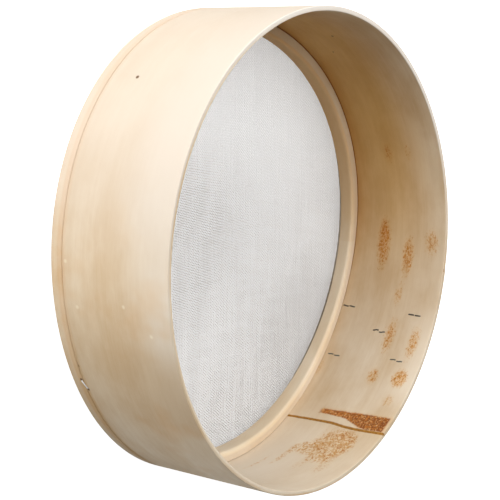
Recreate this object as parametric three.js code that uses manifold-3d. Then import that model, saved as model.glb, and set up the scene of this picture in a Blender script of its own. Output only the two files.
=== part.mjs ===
// Soil sieve: a bentwood hoop, a narrow rear band and an inner ring that hold a disc of woven wire cloth.
// Millimetres. +Z runs along the drum, from the rear rim at z = 0, on which the sieve lies, to the mouth.
// Angles are in degrees about +Z, from +X. Everything is drawn round first and then bent to the slightly
// uneven outline of bent wood by bend().
import * as THREE from "three";
import { mergeVertices } from "three/addons/utils/BufferGeometryUtils.js";
import Module from "manifold-3d";

// Driving dimensions
const RADIUS = 200; // outside of the hoop
const DEPTH = 120; // rear rim to mouth
const WOOD = 4; // thickness of the hoop and of the rear band
const BAND_WIDTH = 12; // rear band, measured along the drum
const FIT_GAP = 0.3; // between pieces that touch

// Uneven outline: the mouth is a little oval, the rear end three-lobed, smaller and off centre
const MOUTH_OVAL = { part: 0.012, at: -45 };
const REAR_LOBES = { part: 0.014, at: 18.7 };
const REAR_TAPER = 0.0075;
const REAR_SHIFT = 1.6;

// The hoop strip overlaps itself, and each end stands one step proud of the strip under it
const LAP_START = 304.3;
const LAP_SPAN = 50;
const LAP_SLANT = 2.4; // how far the strip's ends turn between the rear rim and the mouth
const LAP_STEP = 0.6;

// Eased edges
const RIM_EASE = 0.6;
const GROOVE_EASE = 1.5;
const REAR_EASE = 1;

// Inner ring, and the wire cloth whose edge is turned up around it
const RING_BASE = 9;
const RING_HEIGHT = 11.4; // where it is lowest
const RING_WAVE = { rise: 3, at: -20 }; // its front edge rises in three waves, and is lowest at this angle
const RING_THICK = 9;
const RING_EASE = 2;
const CLOTH = 0.7;
const HEM_HEIGHT = 10;

// Staples: flat wire, with legs clinched towards each other on the inside of the lap
const WIRE = { thick: 0.7, wide: 1.3 };
const LAP_CROWN = 12.8;
const BAND_CROWN = 9.4;
const CLINCH = 5.8;
const LAP_STAPLES = [
  { name: "lap_staple_rear_low", at: 326.3, z: 30.3 },
  { name: "lap_staple_rear_high", at: 341.5, z: 27.8 },
  { name: "lap_staple_middle", at: 335.9, z: 67.2 },
  { name: "lap_staple_front_low", at: 328.5, z: 95 },
  { name: "lap_staple_front_high", at: 342.1, z: 98.9 },
];
const BAND_STAPLE = { name: "band_staple", at: 215.6, z: BAND_WIDTH, turn: -66 };
const BAND_LEG = 2.6;

const STEPS = 144; // stations around a ring

// Sizes that follow
const GROOVE_HALF = FIT_GAP / 2;
const WOOD_INSIDE = RADIUS - WOOD;
const HEM_OUTSIDE = WOOD_INSIDE - LAP_STEP - FIT_GAP;
const RING_OUTSIDE = HEM_OUTSIDE - CLOTH - FIT_GAP;
const RING_INSIDE = RING_OUTSIDE - RING_THICK;
const CLOTH_TOP = RING_BASE - FIT_GAP;

const wasm = await Module();
wasm.setup();
const { degToRad } = THREE.MathUtils;

// Moves each vertex of a round shape to the uneven outline.
function bend(geometry) {
  const p = geometry.getAttribute("position");
  for (let i = 0; i < p.count; i++) {
    const [x, y, z] = [p.getX(i), p.getY(i), p.getZ(i)];
    const angle = Math.atan2(y, x);
    const mouth = z / DEPTH;
    const rear = 1 - mouth;
    const scale =
      (1 - REAR_TAPER * rear) *
      (1 +
        MOUTH_OVAL.part * mouth * Math.cos(2 * (angle - degToRad(MOUTH_OVAL.at))) +
        REAR_LOBES.part * rear * Math.cos(3 * (angle - degToRad(REAR_LOBES.at))));
    p.setXYZ(i, x * scale, y * scale + REAR_SHIFT * rear, z);
  }
  return geometry;
}

// A closed ring through one section per station. A section is a list of [radius, z] that runs
// anticlockwise with the radius to the right. slant turns the section's front past its rear, in degrees.
function ring(stations, sectionAt, slant = 0) {
  const positions = [];
  const index = [];
  const count = sectionAt(stations[0]).length;
  stations.forEach((angle, i) => {
    const next = (i + 1) % stations.length;
    sectionAt(angle).forEach(([r, z], j) => {
      const turned = degToRad(angle + slant * (z / DEPTH - 0.5));
      positions.push(r * Math.cos(turned), r * Math.sin(turned), z);
      const k = (j + 1) % count;
      index.push(i * count + j, next * count + j, next * count + k);
      index.push(i * count + j, next * count + k, i * count + k);
    });
  });
  const geometry = new THREE.BufferGeometry();
  geometry.setAttribute("position", new THREE.Float32BufferAttribute(positions, 3));
  geometry.setIndex(index);
  return geometry;
}

// A rectangle from (r0, z0) to (r1, z1) with corners cut by ease: [inner rear, outer rear, outer front,
// inner front].
function easedSection(r0, r1, z0, z1, ease) {
  const [a, b, c, d] = ease;
  return [
    [r0, z0 + a],
    [r0 + a, z0],
    [r1 - b, z0],
    [r1, z0 + b],
    [r1, z1 - c],
    [r1 - c, z1],
    [r0 + d, z1],
    [r0, z1 - d],
  ];
}

const evenStations = Array.from({ length: STEPS }, (_, i) => (i * 360) / STEPS);

// The hoop strip at one angle: inside the lap, the inner end steps in at its start and thins out, and
// the outer end rises from nothing to its own step.
function hoopSection(angle) {
  const along = (angle - LAP_START) / LAP_SPAN;
  const inLap = along > 0 && along < 1;
  const inward = inLap ? LAP_STEP * (1 - along) : 0;
  const outward = inLap ? LAP_STEP * along : 0;
  return easedSection(WOOD_INSIDE - inward, RADIUS + outward, BAND_WIDTH + GROOVE_HALF, DEPTH, [
    RIM_EASE,
    GROOVE_EASE,
    RIM_EASE,
    RIM_EASE,
  ]);
}

// Each lap end gets two stations close together, so that its step is sharp.
function hoopStations() {
  const sharp = 0.05;
  const ends = [LAP_START, LAP_START + LAP_SPAN].flatMap((a) => [a - sharp, a + sharp]);
  return evenStations
    .filter((a) => ends.every((e) => Math.abs(a - e) > 0.5))
    .concat(ends)
    .sort((a, b) => a - b);
}

function toSolid(geometry) {
  const plain = geometry.clone();
  plain.deleteAttribute("normal");
  plain.deleteAttribute("uv");
  const merged = mergeVertices(plain, 1e-4);
  return new wasm.Manifold(
    new wasm.Mesh({
      numProp: 3,
      vertProperties: merged.attributes.position.array,
      triVerts: new Uint32Array(merged.index.array),
    }),
  );
}

function toGeometry(solid) {
  const { vertProperties, triVerts } = solid.getMesh();
  const geometry = new THREE.BufferGeometry();
  geometry.setAttribute("position", new THREE.BufferAttribute(vertProperties, 3));
  geometry.setIndex(new THREE.BufferAttribute(triVerts, 1));
  return geometry;
}

// Puts a shape drawn with x outwards and y along the drum onto the drum's outer surface.
function place(geometry, { at, z, turn = 0 }) {
  return geometry
    .rotateX(Math.PI / 2)
    .rotateX(degToRad(turn))
    .translate(RADIUS, 0, z)
    .rotateZ(degToRad(at));
}

// Flat wire bent in one plane: the outline is extruded to the wire's width.
function flatWire(outline) {
  const shape = new THREE.Shape(outline.map(([x, y]) => new THREE.Vector2(x, y)));
  const geometry = new THREE.ExtrudeGeometry(shape, { depth: WIRE.wide, bevelEnabled: false });
  return geometry.translate(0, 0, -WIRE.wide / 2);
}

// A staple through the lap: crown outside, legs through the wood, tips bent inwards.
function lapStaple() {
  const out = LAP_STEP + FIT_GAP;
  const inside = -(WOOD + LAP_STEP + FIT_GAP);
  const half = LAP_CROWN / 2;
  const leg = half - WIRE.thick;
  const tip = half - CLINCH;
  return flatWire([
    [out + WIRE.thick, -half],
    [out + WIRE.thick, half],
    [inside - WIRE.thick, half],
    [inside - WIRE.thick, tip],
    [inside, tip],
    [inside, leg],
    [out, leg],
    [out, -leg],
    [inside, -leg],
    [inside, -tip],
    [inside - WIRE.thick, -tip],
    [inside - WIRE.thick, -half],
  ]);
}

// A staple across the groove, whose short legs stop inside the wood.
function bandStaple() {
  const half = BAND_CROWN / 2;
  const leg = half - WIRE.thick;
  return flatWire([
    [FIT_GAP + WIRE.thick, -half],
    [FIT_GAP + WIRE.thick, half],
    [-BAND_LEG, half],
    [-BAND_LEG, leg],
    [FIT_GAP, leg],
    [FIT_GAP, -leg],
    [-BAND_LEG, -leg],
    [-BAND_LEG, -half],
  ]);
}

// The two slots that a staple's legs run in, each FIT_GAP wider all round than the leg.
function legSlots(crown, outside, depth, spot) {
  const across = (crown - WIRE.thick) / 2;
  return [-across, across].map((y) =>
    toSolid(
      place(
        new THREE.BoxGeometry(
          outside + depth,
          WIRE.thick + 2 * FIT_GAP,
          WIRE.wide + 2 * FIT_GAP,
        ).translate((outside - depth) / 2, y, 0),
        spot,
      ),
    ),
  );
}

const lapSlots = LAP_STAPLES.flatMap((spot) =>
  legSlots(LAP_CROWN, LAP_STEP + 1, WOOD + LAP_STEP + 1, spot),
);
const bandSlots = legSlots(BAND_CROWN, 1, BAND_LEG + FIT_GAP, BAND_STAPLE);

function cut(geometry, slots) {
  return toGeometry(slots.reduce((solid, slot) => solid.subtract(slot), toSolid(geometry)));
}

const beech = new THREE.MeshStandardMaterial({ color: 0xe3c9a0, roughness: 0.6, metalness: 0 });
const ringWood = new THREE.MeshStandardMaterial({ color: 0xcfb48a, roughness: 0.65, metalness: 0 });
const galvanised = new THREE.MeshStandardMaterial({ color: 0xcacaca, roughness: 0.4, metalness: 0.8 });
const stapleSteel = new THREE.MeshStandardMaterial({ color: 0xa9a9a6, roughness: 0.35, metalness: 1 });

const sieve = new THREE.Group();
sieve.name = "soil_sieve";

function add(name, geometry, material) {
  const mesh = new THREE.Mesh(bend(geometry), material);
  mesh.name = name;
  sieve.add(mesh);
}

const hoop = ring(hoopStations(), hoopSection, LAP_SLANT);
add("main_hoop", cut(hoop, [...lapSlots, ...bandSlots]), beech);

const bandSection = easedSection(WOOD_INSIDE, RADIUS, 0, BAND_WIDTH - GROOVE_HALF, [
  RIM_EASE,
  REAR_EASE,
  GROOVE_EASE,
  RIM_EASE,
]);
add("rear_band", cut(ring(evenStations, () => bandSection), bandSlots), beech);

function ringSection(angle) {
  const wave = (1 - Math.cos(3 * degToRad(angle - RING_WAVE.at))) / 2;
  const top = RING_BASE + RING_HEIGHT + RING_WAVE.rise * wave;
  return easedSection(RING_INSIDE, RING_OUTSIDE, RING_BASE, top, [RIM_EASE, RIM_EASE, RING_EASE, RING_EASE]);
}
add("inner_ring", ring(evenStations, ringSection), ringWood);

const clothOutline = [
  [0, CLOTH_TOP - CLOTH],
  [HEM_OUTSIDE, CLOTH_TOP - CLOTH],
  [HEM_OUTSIDE, CLOTH_TOP],
  [0, CLOTH_TOP],
].map(([r, z]) => new THREE.Vector2(r, z));
const cloth = new THREE.LatheGeometry(clothOutline, STEPS);
add("wire_cloth", cloth.rotateX(Math.PI / 2), galvanised);

const hemSection = easedSection(
  HEM_OUTSIDE - CLOTH,
  HEM_OUTSIDE,
  CLOTH_TOP + FIT_GAP,
  CLOTH_TOP + FIT_GAP + HEM_HEIGHT,
  [0.1, 0.1, 0.1, 0.1],
);
add("cloth_hem", ring(evenStations, () => hemSection), galvanised);

for (const spot of LAP_STAPLES) add(spot.name, place(lapStaple(), spot), stapleSteel);
add(BAND_STAPLE.name, place(bandStaple(), BAND_STAPLE), stapleSteel);

export default sieve;
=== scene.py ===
"""Soil sieve: the looks of a bentwood sieve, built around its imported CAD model.
Metres, in the CAD model's frame: +Z runs along the drum from the rear rim to the open mouth.
Angles are in degrees about +Z, from +X. Wood is drawn round and then bent as in the CAD model."""

import math

import bpy
import numpy as np
from mathutils import Matrix, Vector


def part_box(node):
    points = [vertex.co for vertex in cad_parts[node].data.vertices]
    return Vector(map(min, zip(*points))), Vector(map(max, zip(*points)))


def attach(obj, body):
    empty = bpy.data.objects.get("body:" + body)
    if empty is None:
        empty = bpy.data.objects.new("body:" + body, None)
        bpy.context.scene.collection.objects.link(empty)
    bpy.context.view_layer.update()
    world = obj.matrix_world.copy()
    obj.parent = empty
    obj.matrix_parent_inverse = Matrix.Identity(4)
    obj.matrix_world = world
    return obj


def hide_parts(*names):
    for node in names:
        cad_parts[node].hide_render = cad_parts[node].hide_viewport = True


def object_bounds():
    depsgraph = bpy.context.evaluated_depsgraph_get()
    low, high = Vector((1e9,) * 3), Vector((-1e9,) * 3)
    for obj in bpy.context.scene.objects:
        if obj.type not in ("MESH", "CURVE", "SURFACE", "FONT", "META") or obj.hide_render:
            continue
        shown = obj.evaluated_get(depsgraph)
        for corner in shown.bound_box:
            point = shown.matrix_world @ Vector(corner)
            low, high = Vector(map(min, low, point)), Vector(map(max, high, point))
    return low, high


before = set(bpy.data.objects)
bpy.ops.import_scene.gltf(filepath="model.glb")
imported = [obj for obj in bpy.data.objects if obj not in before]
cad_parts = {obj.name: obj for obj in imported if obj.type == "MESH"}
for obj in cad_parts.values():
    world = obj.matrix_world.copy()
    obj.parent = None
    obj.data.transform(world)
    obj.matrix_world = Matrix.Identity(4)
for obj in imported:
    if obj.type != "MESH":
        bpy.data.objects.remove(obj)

cad_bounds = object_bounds()
MM = 0.001

# ---------------------------------------------------------------- sizes, from the frame where it has them
REAR, DEPTH = cad_bounds[0].z, cad_bounds[1].z
HOOP_Z = [corner.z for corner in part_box("main_hoop")]
BAND_Z = [corner.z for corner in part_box("rear_band")]
RING_Z = [corner.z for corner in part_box("inner_ring")]
CLOTH_Z = sum(corner.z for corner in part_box("wire_cloth")) / 2
HEM_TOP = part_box("cloth_hem")[1].z

# the CAD model's driving dimensions that no box gives
RADIUS = 200 * MM
WOOD = 4 * MM
MOUTH_OVAL, MOUTH_OVAL_AT = 0.012, -45  # a share of the radius, and the angle where it is widest
REAR_LOBES, REAR_LOBES_AT = 0.014, 18.7
REAR_TAPER = 0.0075
REAR_SHIFT = 1.6 * MM
LAP_START, LAP_SPAN, LAP_SLANT = 304.3, 50, 2.4  # the slant is how far its ends turn over the depth
LAP_STEP = 0.6 * MM  # how far each end stands off the plain hoop
SEAM_JOG = ((20, -0.55), (45, -0.1), (66, 0.1), (84, -0.55), (100, -0.5), (119, -0.1))  # (z in mm, degrees)
RING_RADII = (185.1 * MM, 194.1 * MM)
RING_LIP = 195.2 * MM  # the ring's outside radius where it covers the hem
RING_RISE, RING_RISE_AT = 3 * MM, -20  # its front edge rises in three waves, and is lowest at this angle
CLOTH_RADIUS = 195.0 * MM

# woven wire cloth
PITCH = 1.4 * MM
WIRE = 0.2 * MM  # radius
WIRE_CORNERS = (90, 210, 330)  # each wire is a three-sided tube
SAG = 0.3 * MM
CLOTH_TURN = 8  # the weave's angle to +X

# staples: where their middles are, as (angle, z)
LAP_STAPLES = {
    "lap_staple_rear_low": (326.3, 30.3 * MM),
    "lap_staple_rear_high": (341.5, 27.8 * MM),
    "lap_staple_middle": (335.9, 67.2 * MM),
    "lap_staple_front_low": (328.5, 95.0 * MM),
    "lap_staple_front_high": (342.1, 98.9 * MM),
}
LAP_CROWN, BAND_CROWN = 12.8 * MM, 9.4 * MM
CLINCH = 5.9 * MM
LAP_KINKS = (0.35, -0.3, 0.9, 0.5, 0.05)  # how far the clinched tips lie to the side, in mm
BAND_STAPLE = (215.6, 12 * MM)
BAND_TURN = -66
BAND_LEG = 2.6 * MM
LAP_WIDE, BAND_WIDE = 1.35 * MM, 1.6 * MM
LAP_SHOULDER, BAND_SHOULDER = 0.5 * MM, 1.1 * MM  # the slope between a leg and the crown
STAPLE_THICK = 0.7 * MM
STAPLE_GAP = 0.25 * MM  # from the wood to the middle of the wire

# camera: how far the drum's axis is turned from the line of sight, and tipped down at the mouth
AXIS_TURN, AXIS_TIP = 52.97, 6.01
CAMERA_DISTANCE = 1.1547  # to the mouth's middle, along the line of sight
MOUTH_RIGHT, MOUTH_DOWN = 63.0 * MM, 3.5 * MM  # the mouth's middle from the line of sight
LENS, SENSOR_WIDTH = 101.6, 36  # mm


# ---------------------------------------------------------------- shape
def bend(points):
    """Moves round points (n, 3) to the uneven outline of bent wood."""
    x, y, z = points.T
    angle, mouth = np.arctan2(y, x), z / DEPTH
    rear = 1 - mouth
    oval = MOUTH_OVAL * mouth * np.cos(2 * (angle - math.radians(MOUTH_OVAL_AT)))
    lobes = REAR_LOBES * rear * np.cos(3 * (angle - math.radians(REAR_LOBES_AT)))
    scale = (1 - REAR_TAPER * rear) * (1 + oval + lobes)
    return np.stack([x * scale, y * scale + REAR_SHIFT * rear, z], 1)


def on_drum(radius, angle, z):
    """The bent place of one point given by radius, angle and z."""
    a = math.radians(angle)
    return Vector(bend(np.array([[radius * math.cos(a), radius * math.sin(a), z]]))[0])


def add_mesh(name, points, faces, material, replaces):
    mesh = bpy.data.meshes.new(name)
    mesh.from_pydata(points, [], faces)
    mesh.shade_smooth()
    mesh.set_sharp_from_angle(angle=math.radians(50))
    mesh.materials.append(material)
    piece = bpy.data.objects.new(name, mesh)
    bpy.context.scene.collection.objects.link(piece)
    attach(piece, "root")
    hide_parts(*replaces)
    return piece


def rounded_section(inside, outside, low, high, rounds, side_steps=14, corner_steps=5, lip=None):
    """A rectangle of [radius, z] with rounded corners, anticlockwise with the radius to the right.
    rounds are the corner radii: inner rear, outer rear, outer front, inner front.
    lip is the radius of a wider front part, and the z where it starts."""
    front = lip[0] if lip else outside
    corners = [(inside, low, 1, 1), (outside, low, -1, 1), (front, high, -1, -1), (inside, high, 1, -1)]
    points = []
    for k, ((r, z, to_r, to_z), size) in enumerate(zip(corners, rounds)):
        start = math.pi + k * math.pi / 2
        for t in np.linspace(0, math.pi / 2, corner_steps):
            turn = start + t
            points.append((r + size * (to_r + math.cos(turn)), z + size * (to_z + math.sin(turn))))
        if k == 1 and lip:
            points += [(outside, lip[1]), (front, lip[1] + 0.1 * MM)]
        elif k % 2:  # the long sides get points along them
            following = corners[(k + 1) % 4]
            end = following[1] + following[3] * rounds[(k + 1) % 4]
            points += [(r, zz) for zz in np.linspace(points[-1][1], end, side_steps + 1)[1:-1]]
    return np.array(points)


def bent_ring(angles, section_at, slant=0.0, seams=(0.0, 0.0), jog=()):
    """Points, faces and strip coordinates of a closed bent ring. The strip coordinates are those of the
    flat strip: length along it, z, and depth under its outside. They start again at seams (inside, outside).
    jog moves the strip's inner end sideways from a straight cut."""
    sections = np.array([section_at(a) for a in angles])
    stations, count = sections.shape[:2]
    radius, z = sections[..., 0], sections[..., 1]
    turned = np.array(angles)[:, None] + slant * (z / DEPTH - 0.5)
    if jog:
        heights, shifts = np.array(jog).T
        near = np.clip(1 - np.abs(np.array(angles) - seams[0]) / 5, 0, 1)[:, None]
        turned += near * np.interp(z, heights * MM, shifts)
    turned = np.radians(turned)
    points = np.stack([radius * np.cos(turned), radius * np.sin(turned), z], -1).reshape(-1, 3)
    i, j = (g.ravel() for g in np.meshgrid(range(stations), range(count), indexing="ij"))
    i_next, j_next = (i + 1) % stations, (j + 1) % count
    faces = np.stack([i * count + j, i_next * count + j, i_next * count + j_next, i * count + j_next], 1)
    depth = (RADIUS - radius).ravel()
    middle = depth[faces].mean(1)
    seam = np.where(middle > (depth.min() + depth.max()) / 2, seams[0], seams[1])
    start = (np.array(angles)[i] - seam) % 360
    step = (np.array(angles)[i_next] - np.array(angles)[i]) % 360
    arc = np.radians(np.stack([start, start + step, start + step, start], 1)) * RADIUS
    strip = np.stack([arc, z.ravel()[faces], depth[faces]], -1)
    return bend(points), faces, strip


def wooden_ring(name, material, slot, *ring):
    points, faces, strip = ring
    piece = add_mesh(name, points.tolist(), faces.tolist(), material, [name])
    layer = piece.data.attributes.new("strip", "FLOAT_VECTOR", "CORNER")
    layer.data.foreach_set("vector", strip.astype(np.float32).ravel())
    return piece


def wire_points(path, sideways, wide, thick, material, name):
    """A flat wire swept along path, rounded at its edges. sideways is the direction of its width."""
    path = [Vector(p) for p in path]
    points, count = [], 8
    for k, p in enumerate(path):
        along = (path[min(k + 1, len(path) - 1)] - path[max(k - 1, 0)]).normalized()
        side = sideways.normalized()
        up = along.cross(side).normalized()
        for t in range(count):
            a = 2 * math.pi * (t + 0.5) / count
            points.append(p + side * (wide / 2 * math.cos(a)) + up * (thick / 2 * math.sin(a)))
    faces = [
        (k * count + t, k * count + (t + 1) % count, (k + 1) * count + (t + 1) % count, (k + 1) * count + t)
        for k in range(len(path) - 1)
        for t in range(count)
    ]
    faces += [tuple(range(count))[::-1], tuple((len(path) - 1) * count + t for t in range(count))]
    return add_mesh(name, [tuple(p) for p in points], faces, material, [name])


# ---------------------------------------------------------------- materials
def linear(red, green, blue):
    """A colour given as display values from 0 to 1, as scene-linear values."""
    shown = (red, green, blue)
    return tuple(c / 12.92 if c <= 0.04045 else ((c + 0.055) / 1.055) ** 2.4 for c in shown) + (1.0,)


PALE = linear(0.925, 0.86, 0.76)
TAN = linear(0.835, 0.72, 0.56)
# painted shade in the holes at the band staple's ends
STAPLE_HOLE_SHADE = (0.16, 0.10, 0.06)


class Shader:
    """Builds one material's nodes. Each method returns the socket that holds its result."""

    def __init__(self, name):
        self.material = bpy.data.materials.new(name)
        self.material.use_nodes = True
        self.nodes, self.links = self.material.node_tree.nodes, self.material.node_tree.links
        self.surface = self.nodes["Principled BSDF"]

    def node(self, kind, inputs=(), **settings):
        node = self.nodes.new(kind)
        for key, value in settings.items():
            setattr(node, key, value)
        for key, value in dict(inputs).items():
            self.give(node.inputs[key], value)
        return node

    def give(self, socket, value):
        if isinstance(value, bpy.types.NodeSocket):
            self.links.new(value, socket)
        else:
            socket.default_value = value

    def math(self, operation, a, b=0.0, clamp=False):
        return self.node("ShaderNodeMath", {0: a, 1: b}, operation=operation, use_clamp=clamp).outputs[0]

    def add(self, first, *others):
        for other in others:
            first = self.math("ADD", first, other)
        return first

    def times(self, first, *others):
        for other in others:
            first = self.math("MULTIPLY", first, other)
        return first

    def vector(self, operation, a, b=(0, 0, 0)):
        node = self.node("ShaderNodeVectorMath", {0: a, 1: b}, operation=operation)
        return node.outputs["Value" if operation in ("LENGTH", "DOT_PRODUCT") else "Vector"]

    def noise(self, vector, scale=1.0, detail=2.0, roughness=0.5, distortion=0.0):
        inputs = {"Vector": vector, "Scale": scale, "Detail": detail, "Roughness": roughness}
        return self.node("ShaderNodeTexNoise", {**inputs, "Distortion": distortion}).outputs["Fac"]

    def fit(self, value, low, high, to_low=0.0, to_high=1.0, curve="SMOOTHSTEP"):
        """Maps low..high to to_low..to_high, and keeps to those outside it. low may be above high."""
        if low > high:
            low, high, to_low, to_high = high, low, to_high, to_low
        inputs = {"Value": value, "From Min": low, "From Max": high, "To Min": to_low, "To Max": to_high}
        return self.node("ShaderNodeMapRange", inputs, interpolation_type=curve).outputs["Result"]

    def mix(self, factor, a, b, blend="MIX"):
        node = self.node("ShaderNodeMix", {0: factor, 6: a, 7: b}, data_type="RGBA", blend_type=blend)
        return node.outputs[2]

    def bump(self, height, distance, strength=1.0):
        inputs = {"Height": height, "Distance": distance, "Strength": strength}
        self.give(self.surface.inputs["Normal"], self.node("ShaderNodeBump", inputs).outputs["Normal"])

    def set(self, **values):
        for key, value in values.items():
            self.give(self.surface.inputs[key.replace("_", " ")], value)


class Wood(Shader):
    """Planed pale wood whose grain runs along a strip. colour holds the colour so far.
    ends are the angles where the strip's inside and outside start, and slant is how far its ends turn."""

    def __init__(self, name, seed, pale, tan, ends=(0, 0), slant=0):
        super().__init__(name)
        self.ends, self.slant = ends, slant
        self.strip = self.node("ShaderNodeAttribute", attribute_name="strip").outputs["Vector"]
        split = self.node("ShaderNodeSeparateXYZ", {0: self.strip})
        self.along, self.z, self.depth = split.outputs
        self.place = self.node("ShaderNodeTexCoord").outputs["Object"]
        self.is_inside = self.fit(self.depth, WOOD * 0.45, WOOD * 0.55)
        self.is_outside = self.fit(self.depth, WOOD * 0.55, WOOD * 0.45)
        spot = self.vector("ADD", self.strip, (seed, seed * 0.37, seed * 0.11))
        self.fibre = self.noise(self.vector("MULTIPLY", spot, (45, 1700, 1700)), detail=3, roughness=0.6)
        streaks = self.vector("MULTIPLY", spot, (5, 230, 230))
        streak = self.noise(streaks, detail=3, roughness=0.6, distortion=0.3)
        band = self.noise(self.vector("MULTIPLY", spot, (2.2, 30, 30)), detail=2, distortion=0.5)
        self.cloud = self.noise(self.vector("MULTIPLY", spot, (14, 26, 26)), detail=4, roughness=0.6)
        fleck = self.noise(self.vector("MULTIPLY", spot, (190, 2600, 2600)), detail=1)
        tone = self.add(
            self.fit(band, 0.3, 0.7, 0, 0.24),
            self.fit(self.cloud, 0.32, 0.68, 0, 0.55),
            self.fit(streak, 0.3, 0.7, 0, 0.13),
            self.fit(self.fibre, 0.3, 0.7, -0.05, 0.07),
        )
        self.colour = self.mix(tone, pale, tan)
        self.tint(self.fit(fleck, 0.67, 0.76, 0, 0.3), (0.82, 0.70, 0.55))
        parts = (self.times(self.fibre, 0.6), self.times(streak, 0.8), self.times(self.cloud, 0.8))
        self.height = self.add(*parts)

    def facing(self, angle):
        """The cosine of the angle between a place on the drum and the given angle about its axis."""
        a = math.radians(angle)
        flat = self.vector("NORMALIZE", self.vector("MULTIPLY", self.place, (1, 1, 0)))
        return self.vector("DOT_PRODUCT", flat, (math.cos(a), math.sin(a), 0))

    def around(self, angle, start, full):
        """1 on the drum's side that faces angle. start and full are cosines of the distance from it."""
        return self.fit(self.facing(angle), start, full)

    def between(self, start, full):
        """1 from one z on, rising from 0 at another. Both are in mm, and start may be above full."""
        return self.fit(self.z, start * MM, full * MM)

    def inside(self, *factors):
        return self.times(self.is_inside, *factors)

    def outside(self, *factors):
        return self.times(self.is_outside, *factors)

    def tint(self, factor, multiplier):
        """Multiplies the colour, where factor is 1."""
        self.colour = self.mix(factor, self.colour, tuple(multiplier) + (1.0,), "MULTIPLY")

    def paint(self, factor, colour):
        self.colour = self.mix(factor, self.colour, linear(*colour))

    def patch(self, angle, z, half_angle, half_z, inside=True, soft=0.5):
        """1 in an ellipse on the strip's inside or outside, and 0 beyond its soft edge.
        Angles are in degrees, and z and half_z in mm."""
        start = self.ends[0] if inside else self.ends[1]
        along = math.radians((angle - self.slant * (z * MM / DEPTH - 0.5) - start) % 360) * RADIUS
        reach = 1 / (math.radians(half_angle) * RADIUS), 1 / (half_z * MM), 0
        centre = self.vector("SUBTRACT", self.strip, (along, z * MM, 0))
        distance = self.vector("LENGTH", self.vector("MULTIPLY", centre, reach))
        side = self.is_inside if inside else self.is_outside
        return self.times(self.fit(distance, 1 + soft, 1 - soft), side)

    def ring_top(self):
        """The z of the inner ring's front edge at this angle."""
        c = self.facing(RING_RISE_AT)
        cosine_of_three = self.add(self.times(4.0, c, c, c), self.times(c, -3.0))
        return self.fit(cosine_of_three, -1, 1, RING_Z[1], RING_Z[1] - RING_RISE, "LINEAR")

    def shaded_staple_holes(self):
        """1 at the band staple's ends, where painted shade darkens the holes that they are pulled into."""
        t = math.radians(BAND_TURN)
        angle, z = BAND_STAPLE
        turned = math.degrees(math.sin(t) * BAND_CROWN / 2 / RADIUS)
        raised = math.cos(t) * BAND_CROWN / 2
        centres = [(angle - end * turned, (z + end * raised) / MM) for end in (-1, 1)]
        return self.add(*(self.patch(*centre, 0.42, 1.1, inside=False) for centre in centres))

    def finish(self, roughness=(0.48, 0.64), depth=0.12 * MM):
        rough = self.fit(self.fibre, 0.3, 0.7, *roughness)
        self.set(Base_Color=self.colour, Roughness=rough, Specular_IOR_Level=0.35)
        self.bump(self.height, depth, 0.6)
        return self.material


def paint_outside_light_and_shade(w):
    """Painted light and shade on the outside: painted highlights, paler towards the mouth and over the upper
    left, and painted shade, browner and greyer below, where it also has warmer blotches.
    """
    # painted highlights where it paints, towards the mouth and over the upper left; painted shade where it
    # tints, browner and greyer below
    w.paint(w.outside(w.between(60, 120), w.around(162, 0.35, 0.75), 0.6), (0.925, 0.89, 0.84))
    w.paint(w.outside(w.between(50, 100), w.around(152, 0.85, 0.97), 0.5), (0.94, 0.91, 0.87))
    w.tint(w.outside(w.between(45, 90), w.around(212, 0.97, 0.996)), (0.90, 0.84, 0.75))
    w.paint(w.outside(w.between(90, 112), w.around(195, 0.97, 1.0), 0.3), (0.94, 0.91, 0.87))
    w.tint(w.outside(w.around(178, 0.9, 1.0), 0.45), (0.94, 0.93, 0.92))
    w.tint(w.outside(w.around(213, 0.9, 1.0), 0.65), (0.86, 0.82, 0.75))
    w.tint(w.outside(w.around(190, 0.8, 1.0), 0.5), (0.92, 0.90, 0.86))
    w.paint(w.outside(w.around(120, 0.3, 0.9), 0.75), (0.845, 0.79, 0.725))
    # warmer blotches in the wood itself, below
    blotch = w.fit(w.noise(w.place, 16, detail=3, roughness=0.6), 0.45, 0.68)
    w.tint(w.outside(w.around(240, 0.1, 0.8), blotch, 0.8), (0.95, 0.82, 0.66))


def paint_inside_light_and_shade(w):
    """Painted light and shade on the inside: a deeper tan over its upper half and darker by the inner ring,
    which is painted shade, and paler below and by the mouth, which is painted light.
    """
    # painted shade: the upper half a deeper, warmer tan
    w.tint(w.inside(w.around(75, -0.35, 0.85), w.between(132, 60)), (0.95, 0.70, 0.335))
    # painted shade on the inside just above the inner ring, and browner in the gap at its edge
    over_ring = w.add(w.z, w.times(w.ring_top(), -1.0))
    shade_by_ring = w.inside(w.fit(over_ring, 12 * MM, 1 * MM), w.around(15, 0.6, 0.97))
    w.tint(w.times(shade_by_ring, w.fit(w.cloud, 0.3, 0.6, 0.4, 0.85)), (0.90, 0.84, 0.76))
    shade_at_ring = w.inside(w.fit(over_ring, 0.6 * MM, 0.0), w.around(70, -0.2, 0.7))
    w.tint(shade_at_ring, (0.75, 0.55, 0.35))
    # painted shade: greyer on one side
    w.tint(w.inside(w.around(335, 0.8, 1.0), 0.5), (0.90, 0.90, 0.92))
    # painted light by the mouth on one side, and a little painted shade on another
    light_and_shade_by_mouth = w.inside(w.between(88, 116))
    w.paint(w.times(light_and_shade_by_mouth, w.around(330, 0.95, 1.0), 0.55), (0.98, 0.93, 0.85))
    w.tint(w.times(light_and_shade_by_mouth, w.around(289, 0.93, 0.99)), (0.94, 0.91, 0.86))
    # painted light: paler below, more so away from the mouth
    painted_light_strength = w.fit(w.z, 50 * MM, 95 * MM, 0.85, 0.4)
    w.paint(w.inside(w.around(252, 0.45, 0.98), painted_light_strength), (0.955, 0.91, 0.84))


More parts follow.
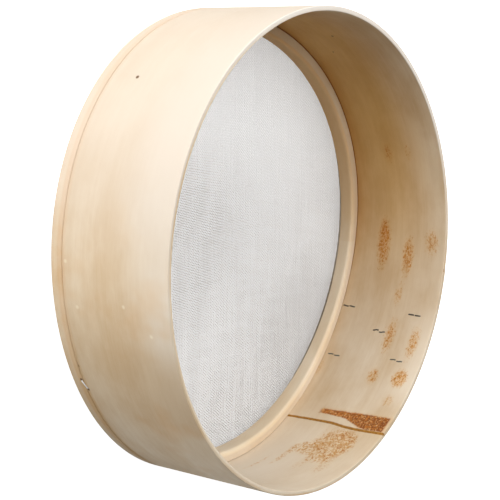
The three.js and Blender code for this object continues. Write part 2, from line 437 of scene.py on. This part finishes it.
def groove_shade_and_dirt(w, start, full, multiplier):
    """The groove beside the band is darkened a little, from z start to full: painted shade in the groove and
    dirt in it, browner on one side.
    """
    groove = w.outside(w.fit(w.z, start, full))
    w.tint(w.times(groove, 0.5), multiplier)
    w.tint(w.times(groove, w.around(235, 0.78, 0.99)), (0.90, 0.83, 0.68))


def rust_stains(w, mottle, crumbs):
    """Rust-coloured stains on the inside."""
    # angle, z in mm, half length in degrees, half height in mm, strength
    spots = (
        (0.5, 53.5, 6.8, 6.8, 1.0), (2.5, 53.0, 4.0, 3.5, 0.4), (357.8, 81.0, 5.4, 6.0, 0.95),
        (2.5, 105.5, 3.5, 8.0, 0.7), (346.8, 77.0, 3.2, 4.5, 0.62), (335.0, 79.5, 5.0, 5.5, 0.85),
        (334.3, 105.5, 4.8, 5.5, 0.8), (322.5, 79.0, 2.6, 5.5, 0.85), (323.5, 105.5, 2.6, 7.0, 1.15),
        (316.3, 105.5, 2.0, 5.0, 0.6), (26.8, 62.0, 3.4, 5.0, 0.62), (27.5, 84.0, 2.5, 4.0, 0.5),
        (321.0, 22.0, 3.0, 5.0, 0.5),
    )  # fmt: skip
    reach = w.add(*(w.times(w.patch(*spot[:4], soft=0.75), spot[4]) for spot in spots))
    spread = w.add(reach, w.times(w.add(mottle, -0.5), 2.6))
    stain = w.times(w.fit(spread, 0.35, 1.05), w.fit(reach, 0.02, 0.2))
    w.tint(w.times(w.fit(reach, 0.1, 0.9), 0.5), (0.99, 0.87, 0.66))
    w.tint(w.times(stain, w.fit(crumbs, 0.60, 0.46, 0.1, 1.0)), (0.80, 0.45, 0.12))
    w.tint(w.times(stain, w.fit(crumbs, 0.45, 0.36), 0.7), (0.62, 0.45, 0.28))


def glue_wedge(w, mottle, crumbs, wobble):
    """Glue pressed out above the seam: a dense speckled wedge that widens towards the mouth."""
    above = w.inside(w.fit(w.along, 0.5 * RADIUS, 0.4 * RADIUS))
    edge = w.add(w.along, w.add(wobble, w.times(w.add(mottle, -0.5), 3.2 * MM)))
    top = w.fit(w.z, 44 * MM, 112 * MM, 16.0 * MM, 19.0 * MM)
    low = w.fit(w.z, 72 * MM, 100 * MM, 9.6 * MM, 1.8 * MM)
    over_top, over_low = (w.add(edge, w.times(side, -1.0)) for side in (top, low))
    in_height = w.fit(over_low, -0.8 * MM, 0.8 * MM)
    from_rear = w.fit(w.add(w.z, w.times(wobble, 2.0)), 47 * MM, 52 * MM)
    under_top = w.fit(over_top, 0.9 * MM, -0.9 * MM)
    wedge = w.times(above, under_top, in_height, from_rear, w.between(118.5, 116.5))
    halo = w.times(above, w.fit(over_top, 3.5 * MM, 0.0), in_height, from_rear)
    w.tint(w.times(halo, 0.5), (0.99, 0.85, 0.66))
    dense = w.fit(w.add(mottle, w.times(w.z, 2.6)), 0.46, 0.62)
    darker = w.fit(w.add(mottle, w.times(w.z, 1.6)), 0.52, 0.72)
    glue = w.mix(darker, linear(0.78, 0.48, 0.19), linear(0.54, 0.30, 0.14))
    glue = w.mix(w.fit(crumbs, 0.55, 0.63, 0.0, 0.85), glue, linear(0.95, 0.78, 0.52))
    w.colour = w.mix(w.times(wedge, dense), w.colour, glue)


def netted_stain(w, mottle, crumbs):
    """A paler, netted stain under the seam, with a few clots in it."""
    # angle, z in mm, half length in degrees, half height in mm, strength
    areas = (
        (297.0, 82.0, 6.5, 16.0, 1.0), (298.5, 93.0, 5.0, 9.0, 0.7), (287.0, 96.0, 5.0, 6.0, 0.5),
        (292.5, 63.0, 3.0, 9.0, 0.75), (286.5, 54.0, 6.0, 3.0, 0.6), (291.0, 84.0, 4.0, 8.0, 0.5),
        (285.0, 76.0, 4.0, 5.0, 0.4), (279.0, 44.0, 7.0, 1.6, 0.5),
    )  # fmt: skip
    under = w.add(*(w.times(w.patch(*area[:4], soft=0.7), area[4]) for area in areas))
    veins = 0.0
    for scale, half_width in ((80, 0.030), (160, 0.045)):
        wave = w.noise(w.vector("MULTIPLY", w.strip, (scale, scale * 1.2, 0)), detail=3, distortion=1.2)
        ridge = w.fit(w.math("ABSOLUTE", w.add(wave, -0.5)), half_width * 1.6, half_width * 0.4)
        veins = w.math("MAXIMUM", ridge, veins)
    patchy = w.fit(w.add(under, w.times(w.add(mottle, -0.5), 2.4)), 0.25, 0.9)
    lines = w.times(veins, patchy, w.fit(under, 0.08, 0.5))
    w.tint(w.times(w.fit(under, 0.1, 1.0), 0.45), (0.99, 0.90, 0.72))
    w.tint(w.times(lines, w.fit(crumbs, 0.62, 0.42, 0.35, 1.0)), (0.74, 0.43, 0.12))
    clumps = w.vector("MULTIPLY", w.strip, (170, 260, 0))
    clots = w.fit(w.noise(clumps, detail=4, roughness=0.65, distortion=0.6), 0.52, 0.62)
    clots = w.times(clots, w.fit(under, 0.25, 1.0), w.fit(crumbs, 0.58, 0.48, 0.15, 1.0))
    w.tint(w.times(clots, 0.9), (0.74, 0.42, 0.12))


def seam_line(w, mottle, wobble):
    """The seam inside the lap, dark with old glue."""
    from_seam = w.math("MINIMUM", w.along, w.add(w.times(w.along, -1.0), 2 * math.pi * RADIUS))
    half_line = w.fit(w.z, 20 * MM, 75 * MM, 1.1 * MM, 1.4 * MM)
    past_line = w.add(from_seam, w.times(wobble, 0.4), w.times(half_line, -1.0))
    old_glue = w.mix(w.fit(mottle, 0.4, 0.6), linear(0.60, 0.39, 0.08), linear(0.74, 0.53, 0.20))
    line = w.times(w.fit(past_line, 0.3 * MM, -0.3 * MM), w.is_inside, 0.95)
    w.colour = w.mix(line, w.colour, old_glue)


def pin_holes(w):
    """Pin holes and dark specks, and small pale scars on the outside."""
    # angle, z in mm, radius in mm, inside or not, colour multiplier
    for angle, z, radius, inside, multiplier in (
        (141.4, 39.4, 1.5, False, (0.22, 0.14, 0.07)), (210.3, 12.5, 1.2, False, (0.5, 0.38, 0.22)),
        (71.7, 65.2, 1.2, True, (0.45, 0.4, 0.35)), (63.1, 49.4, 0.9, True, (0.5, 0.45, 0.4)),
    ):  # fmt: skip
        half_angle = math.degrees(radius * MM / RADIUS)
        w.tint(w.patch(angle, z, half_angle, radius, inside, soft=0.3), multiplier)
    for angle, z in ((185, 16), (195, 26), (192.8, 75), (198.3, 100)):
        scar = w.patch(angle, z, 0.4, 1.4, inside=False, soft=0.6)
        w.paint(w.times(scar, 0.4), (0.98, 0.95, 0.86))


def hoop_material():
    w = Wood("hoop_wood", 0.0, PALE, TAN, (LAP_START, LAP_START + LAP_SPAN), LAP_SLANT)
    paint_outside_light_and_shade(w)
    paint_inside_light_and_shade(w)
    # painted highlight on the mouth's rim, over one side
    rim_highlight = w.fit(w.z, DEPTH - 1.1 * MM, DEPTH - 0.4 * MM)
    w.paint(w.times(rim_highlight, w.around(75, 0.2, 0.9), 0.75), (0.965, 0.94, 0.905))
    groove_shade_and_dirt(w, HOOP_Z[0] + 4.6 * MM, HOOP_Z[0] + 1.6 * MM, (1.0, 0.92, 0.84))
    mottle = w.noise(w.vector("MULTIPLY", w.strip, (300, 420, 0)), detail=5, roughness=0.72)
    fine = w.vector("MULTIPLY", w.strip, (480, 620, 0))
    crumbs = w.noise(fine, detail=3, roughness=0.75, distortion=0.9)
    wobble = w.times(w.add(w.noise(w.strip, 260, detail=3), -0.5), 2.4 * MM)
    rust_stains(w, mottle, crumbs)
    glue_wedge(w, mottle, crumbs, wobble)
    netted_stain(w, mottle, crumbs)
    seam_line(w, mottle, wobble)
    pin_holes(w)
    # painted shade in the band staple's holes
    w.tint(w.shaded_staple_holes(), STAPLE_HOLE_SHADE)
    return w.finish()


def band_material():
    w = Wood("band_wood", 3.7, PALE, TAN)
    # painted highlight: a cooler, less yellow tone over the upper left
    w.paint(w.outside(w.around(120, 0.3, 0.9), 0.75), (0.85, 0.79, 0.725))
    groove_shade_and_dirt(w, BAND_Z[1] - 6.2 * MM, BAND_Z[1] - 3.2 * MM, (0.97, 0.86, 0.77))
    # painted shade: the rear edge darker and bluer on one side
    rear_edge_shade = w.times(w.between(1.3, 0.4), w.around(215, 0.5, 0.9))
    w.tint(rear_edge_shade, (0.50, 0.54, 0.60))
    blotch = w.fit(w.noise(w.place, 45, detail=4, roughness=0.65), 0.5, 0.62)
    w.tint(w.times(blotch, w.around(205, 0.75, 0.95), 0.25), (0.94, 0.82, 0.64))
    # painted shade in the band staple's holes
    w.tint(w.shaded_staple_holes(), STAPLE_HOLE_SHADE)
    return w.finish()


def ring_material():
    w = Wood("ring_wood", 7.1, linear(0.97, 0.91, 0.81), linear(0.92, 0.82, 0.67))
    # painted shade: the inner face warmer and darker over the upper side
    shaded_inner_face = w.fit(w.depth, 11 * MM, 14 * MM)
    w.tint(w.times(w.around(80, -0.1, 0.95), shaded_inner_face), (1.0, 0.84, 0.62))
    # painted shade: the outer part greyer on one side
    shaded_outer_part = w.fit(w.depth, 12 * MM, 9 * MM)
    w.tint(w.times(shaded_outer_part, w.around(300, -0.2, 0.8)), (0.88, 0.86, 0.88))
    return w.finish()


def metal(name, colour, worn_and_shaded, metallic, roughness, wear_and_shade=None):
    """The last argument takes the shader and the place, and gives from 0 to 1 where the metal takes its
    second colour: on most metals their rubbed patches, and on the cloth painted shade and dust.
    """
    s = Shader(name)
    place = s.node("ShaderNodeTexCoord").outputs["Object"]
    grain = s.noise(place, 2500, detail=2)
    where = wear_and_shade(s, place) if wear_and_shade else s.fit(s.noise(place, 60, detail=3), 0.35, 0.65)
    s.set(
        Base_Color=s.mix(where, colour, worn_and_shaded),
        Roughness=s.fit(grain, 0.3, 0.7, roughness - 0.08, roughness + 0.1),
        Metallic=metallic,
    )
    s.bump(grain, 0.03 * MM, 0.5)
    return s.material


def cloth_shade_and_dust(s, place):
    """Painted shade and dust on the cloth: painted shade, little on the upper part and more below and in two
    soft patches, and faint dust streaks along the wires.
    """
    _, y, _ = s.node("ShaderNodeSeparateXYZ", {0: place}).outputs
    # painted shade, more below and in two soft patches
    shade_amounts = [s.fit(y, 0.12, 0.02, 0.0, 0.52), s.fit(y, -0.10, -0.17, 0.0, 0.34)]
    for x_at, y_at, radius, amount in ((0.145, -0.09, 0.105, 0.5), (-0.06, 0.01, 0.12, 0.4)):
        reach = s.vector("LENGTH", s.vector("SUBTRACT", place, (x_at, y_at, CLOTH_Z)))
        shade_amounts.append(s.fit(reach, radius, 0.25 * radius, 0.0, amount))
    faint = []
    for scale in ((18, 160, 0), (160, 18, 0)):
        streak = s.noise(s.vector("MULTIPLY", place, scale), detail=3)
        faint.append(s.times(s.add(streak, -0.5), 0.7))
    return s.math("ADD", s.add(*shade_amounts), s.add(*faint), clamp=True)


# the wires' own colour, and the darker colour of the painted shade and dust on them
clean_wire, shaded_dusty_wire = linear(0.82, 0.815, 0.81), linear(0.43, 0.375, 0.315)
cloth_metal = metal("cloth_metal", clean_wire, shaded_dusty_wire, 0.1, 0.55, cloth_shade_and_dust)
hem_metal = metal("hem_metal", linear(0.50, 0.41, 0.30), linear(0.40, 0.30, 0.20), 0.3, 0.6)
staple_metal = metal("staple_metal", linear(0.50, 0.49, 0.46), linear(0.38, 0.36, 0.33), 0.8, 0.4)
# painted highlight: the band staple's metal is near white
painted_highlight_metal = metal("painted_highlight_metal", linear(1.0, 1.0, 0.99), linear(0.97, 0.97, 0.96), 0.2, 0.3)

# ---------------------------------------------------------------- hoop, band and ring
STATIONS = np.arange(0, 360, 1.25)


def hoop_section(angle):
    along = (angle - LAP_START) / LAP_SPAN
    in_lap = 0 < along < 1
    inward, outward = (LAP_STEP * (1 - along), LAP_STEP * along) if in_lap else (0, 0)
    rounds = (0.6 * MM, 1.0 * MM, 0.7 * MM, 0.7 * MM)
    return rounded_section(RADIUS - WOOD - inward, RADIUS + outward, *HOOP_Z, rounds)


def hoop_stations():
    ends = [e + d for e in (LAP_START, LAP_START + LAP_SPAN) for d in (-0.03, 0.03)]
    others = [a for a in STATIONS if min(abs(a - e) for e in ends) > 0.4]
    return sorted(others + ends)


wooden_ring(
    "main_hoop",
    hoop_material(),
    "hoop_wood",
    *bent_ring(hoop_stations(), hoop_section, LAP_SLANT, (LAP_START, LAP_START + LAP_SPAN), SEAM_JOG),
)
band_section = rounded_section(RADIUS - WOOD, RADIUS, *BAND_Z, (0.6 * MM, 1.2 * MM, 1.4 * MM, 0.6 * MM), 6)
wooden_ring("rear_band", band_material(), "hoop_wood", *bent_ring(STATIONS, lambda a: band_section))


def ring_section(angle):
    """The inner ring's section. Its front part reaches over the cloth's hem."""
    top = RING_Z[1] - RING_RISE * (1 + math.cos(math.radians(3 * (angle - RING_RISE_AT)))) / 2
    rounds = (0.25 * MM, 0.8 * MM, 0.5 * MM, 2.2 * MM)
    return rounded_section(*RING_RADII, RING_Z[0], top, rounds, 6, lip=(RING_LIP, HEM_TOP + 0.15 * MM))


wooden_ring("inner_ring", ring_material(), "ring_wood", *bent_ring(STATIONS, ring_section))


# ---------------------------------------------------------------- wire cloth
def woven(name, turn, phase, side, random):
    """Crimped wires that run one way over half of the cloth, each over and under those that cross it."""
    count = int(CLOTH_RADIUS / PITCH)
    points, faces, base = [], [], 0
    turned = math.radians(turn)
    for i in range(-count, 0) if side < 0 else range(0, count + 1):
        reach = int(math.sqrt(max(0.0, CLOTH_RADIUS**2 - (i * PITCH) ** 2)) / PITCH)
        if reach < 1:
            continue
        k = np.arange(-reach, reach + 1)
        shift = random.normal(0, 0.02 * PITCH)
        wander = 0.04 * PITCH * np.sin(k * 0.11 + random.uniform(0, 6))
        uneven = random.normal(0, 0.02)
        thickness = WIRE * (1 + uneven + 0.03 * np.sin(k * 0.07 + random.uniform(0, 6)))
        x, y = k * PITCH, i * PITCH + shift + wander
        px = x * math.cos(turned) - y * math.sin(turned)
        py = x * math.sin(turned) + y * math.cos(turned)
        pz = CLOTH_Z + sag(px, py) + np.where((k + i + phase) % 2 == 0, WIRE, -WIRE)
        for corner in WIRE_CORNERS:
            a = math.radians(corner)
            dx, dz = thickness * math.cos(a), thickness * math.sin(a)
            points.append(np.stack([px - dx * math.sin(turned), py + dx * math.cos(turned), pz + dz], 1))
        n, sides = len(k), len(WIRE_CORNERS)
        s, t = (g.ravel() for g in np.meshgrid(range(sides), range(n - 1), indexing="ij"))
        s_next = (s + 1) % sides
        quads = np.stack([s * n + t, s * n + t + 1, s_next * n + t + 1, s_next * n + t], 1)
        faces.append(base + quads)
        base += sides * n
    return cloth_piece(name, bend(np.concatenate(points)), np.concatenate(faces))


def sag(x, y):
    """How far the cloth is from flat: slight dents that fade towards its edge."""
    dents = np.sin(x * 31 + 1.0) * np.cos(y * 27 + 0.4) + np.sin(x * 13 - y * 17)
    return SAG * dents * np.clip(1 - np.hypot(x, y) / CLOTH_RADIUS, 0, 1) ** 0.5


def cloth_piece(name, points, faces):
    mesh = bpy.data.meshes.new(name)
    mesh.vertices.add(len(points))
    mesh.vertices.foreach_set("co", points.astype(np.float32).ravel())
    mesh.loops.add(faces.size)
    mesh.loops.foreach_set("vertex_index", faces.astype(np.int32).ravel())
    mesh.polygons.add(len(faces))
    mesh.polygons.foreach_set("loop_start", np.arange(0, faces.size, 4, dtype=np.int32))
    mesh.update(calc_edges=True)
    mesh.shade_smooth()
    mesh.materials.append(cloth_metal)
    piece = bpy.data.objects.new(name, mesh)
    bpy.context.scene.collection.objects.link(piece)
    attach(piece, "root")
    return piece


random = np.random.default_rng(7)
cloth = [
    woven("cloth_warp_low", CLOTH_TURN, 0, -1, random),
    woven("cloth_warp_high", CLOTH_TURN, 0, 1, random),
    woven("cloth_weft_low", CLOTH_TURN + 90, 1, -1, random),
    woven("cloth_weft_high", CLOTH_TURN + 90, 1, 1, random),
]
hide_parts("wire_cloth")


# ---------------------------------------------------------------- staples
def staple(name, angle, z, turn, crown, shoulder, leg_path, wide, material):
    """A flat-wire staple through the wood, with its crown outside. turn is from the drum's axis.
    leg_path lists the radius of points along a leg from its tip to the crown, how far in from the crown's
    end they are, and how far to the side."""
    a, t = math.radians(angle), math.radians(turn)
    top = RADIUS + STAPLE_GAP

    def at(radius, across, offset):
        """A point given by its radius, its place along the crown and its distance to the side of it."""
        along_z = across * math.cos(t) + offset * math.sin(t)
        along_arc = offset * math.cos(t) - across * math.sin(t)
        return on_drum(radius, angle + math.degrees(along_arc / RADIUS), z + along_z)

    def half_path(end):
        """From one leg's tip to the crown. end is -1 or 1, and the two halves are kinked opposite ways."""
        points = leg_path + [(top - shoulder, 0, 0), (top, shoulder, 0)]
        return [at(radius, end * (crown / 2 - back), -end * aside) for radius, back, aside in points]

    sideways = Vector((-math.sin(a) * math.cos(t), math.cos(a) * math.cos(t), math.sin(t)))
    path = half_path(-1) + half_path(1)[::-1]
    return wire_points(path, sideways, wide, STAPLE_THICK, material, name)


def clinched_leg(kink):
    """A leg through the lap, whose tip lies along the inside with a kink to the side."""
    inside = RADIUS - WOOD - STAPLE_GAP
    return [
        (inside + 0.15 * MM, CLINCH, kink),
        (inside - 0.2 * MM, 0.6 * CLINCH, kink),
        (inside - 0.1 * MM, 0.25 * CLINCH, 0),
        (inside, 0.3 * MM, 0),
        (inside + 0.5 * MM, 0, 0),
    ]


for (name, (angle, z)), kink in zip(LAP_STAPLES.items(), LAP_KINKS):
    leg = clinched_leg(kink * MM)
    staple(name, angle, z, 0, LAP_CROWN, LAP_SHOULDER, leg, LAP_WIDE, staple_metal)
leg = [(RADIUS - BAND_LEG, 0, 0)]
staple("band_staple", *BAND_STAPLE, BAND_TURN, BAND_CROWN, BAND_SHOULDER, leg, BAND_WIDE, painted_highlight_metal)

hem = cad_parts["cloth_hem"]
hem.data.materials.clear()
hem.data.materials.append(hem_metal)

# ---------------------------------------------------------------- camera and light
scene = bpy.context.scene
turn, tip = math.radians(AXIS_TURN), math.radians(AXIS_TIP)
# the drum's axes as the camera sees them: x to the right, y up, z towards the camera
axis_z = Vector((math.cos(tip) * math.sin(turn), -math.sin(tip), math.cos(tip) * math.cos(turn)))
axis_x = Vector((0, 1, 0)).cross(axis_z).normalized()
axis_y = axis_z.cross(axis_x)
to_frame = Matrix((axis_x, axis_y, axis_z))  # from the camera's axes to the frame's
mouth_seen = Vector((MOUTH_RIGHT, -MOUTH_DOWN, -CAMERA_DISTANCE))
mouth = Vector((0, 0, DEPTH))

camera = bpy.data.objects.new("camera", bpy.data.cameras.new("camera"))
camera.data.lens = LENS
camera.data.sensor_width = SENSOR_WIDTH
camera.matrix_world = Matrix.Translation(mouth - to_frame @ mouth_seen) @ to_frame.to_4x4()
scene.collection.objects.link(camera)
scene.camera = camera

LIGHT_DISTANCE, LIGHT_SIZE = 1.6, 1.0
LIGHTS = (  # name, direction in the camera's axes, power
    ("key", (-0.3, 0.6, 0.8), 20.0),
    ("right", (0.8, 0.4, 0.5), 14.2),
    ("front", (0.5, 0.1, 0.87), 6.6),
    ("low", (-0.5, -0.5, 0.7), 2.6),
    ("back", (0.55, -0.25, -0.8), 13.0),
)


def area_light(name, direction, power):
    """A square light that faces the sieve."""
    light = bpy.data.objects.new(name, bpy.data.lights.new(name, "AREA"))
    light.data.size, light.data.energy = LIGHT_SIZE, power
    back = (to_frame @ Vector(direction)).normalized()
    facing = back.to_track_quat("Z", "Y").to_matrix().to_4x4()
    light.matrix_world = Matrix.Translation(Vector((0, 0, DEPTH / 2)) + back * LIGHT_DISTANCE) @ facing
    scene.collection.objects.link(light)


for light in LIGHTS:
    area_light(*light)


# ---------------------------------------------------------------- floor and surroundings
def white_to_camera(nodes, links, strength, lit, seen):
    """Sets a strength to seen where the camera looks straight at it, and to lit for all other light."""
    rays = nodes.new("ShaderNodeLightPath")
    level = nodes.new("ShaderNodeMapRange")
    level.inputs["To Min"].default_value, level.inputs["To Max"].default_value = lit, seen
    links.new(rays.outputs["Is Camera Ray"], level.inputs["Value"])
    links.new(level.outputs["Result"], strength)


FLOOR_HALF, FLOOR_Z = 6, REAR - 0.2 * MM
corners = [(x * FLOOR_HALF, y * FLOOR_HALF, FLOOR_Z) for x, y in ((-1, -1), (1, -1), (1, 1), (-1, 1))]
floor_mesh = bpy.data.meshes.new("floor")
floor_mesh.from_pydata(corners, [], [(0, 1, 2, 3)])
floor = bpy.data.objects.new("floor", floor_mesh)
paint = Shader("floor")
paint.set(Base_Color=(0.8, 0.8, 0.8, 1), Roughness=0.9, Emission_Color=(1, 1, 1, 1))
white_to_camera(paint.nodes, paint.links, paint.surface.inputs["Emission Strength"], 0.2, 0.93)
floor_mesh.materials.append(paint.material)
scene.collection.objects.link(floor)

scene.world = bpy.data.worlds.new("studio")
scene.world.use_nodes = True
studio = scene.world.node_tree
studio.nodes["Background"].inputs["Color"].default_value = (1, 1, 1, 1)
white_to_camera(studio.nodes, studio.links, studio.nodes["Background"].inputs["Strength"], 0.03, 1.0)
scene.view_settings.view_transform = "Standard"
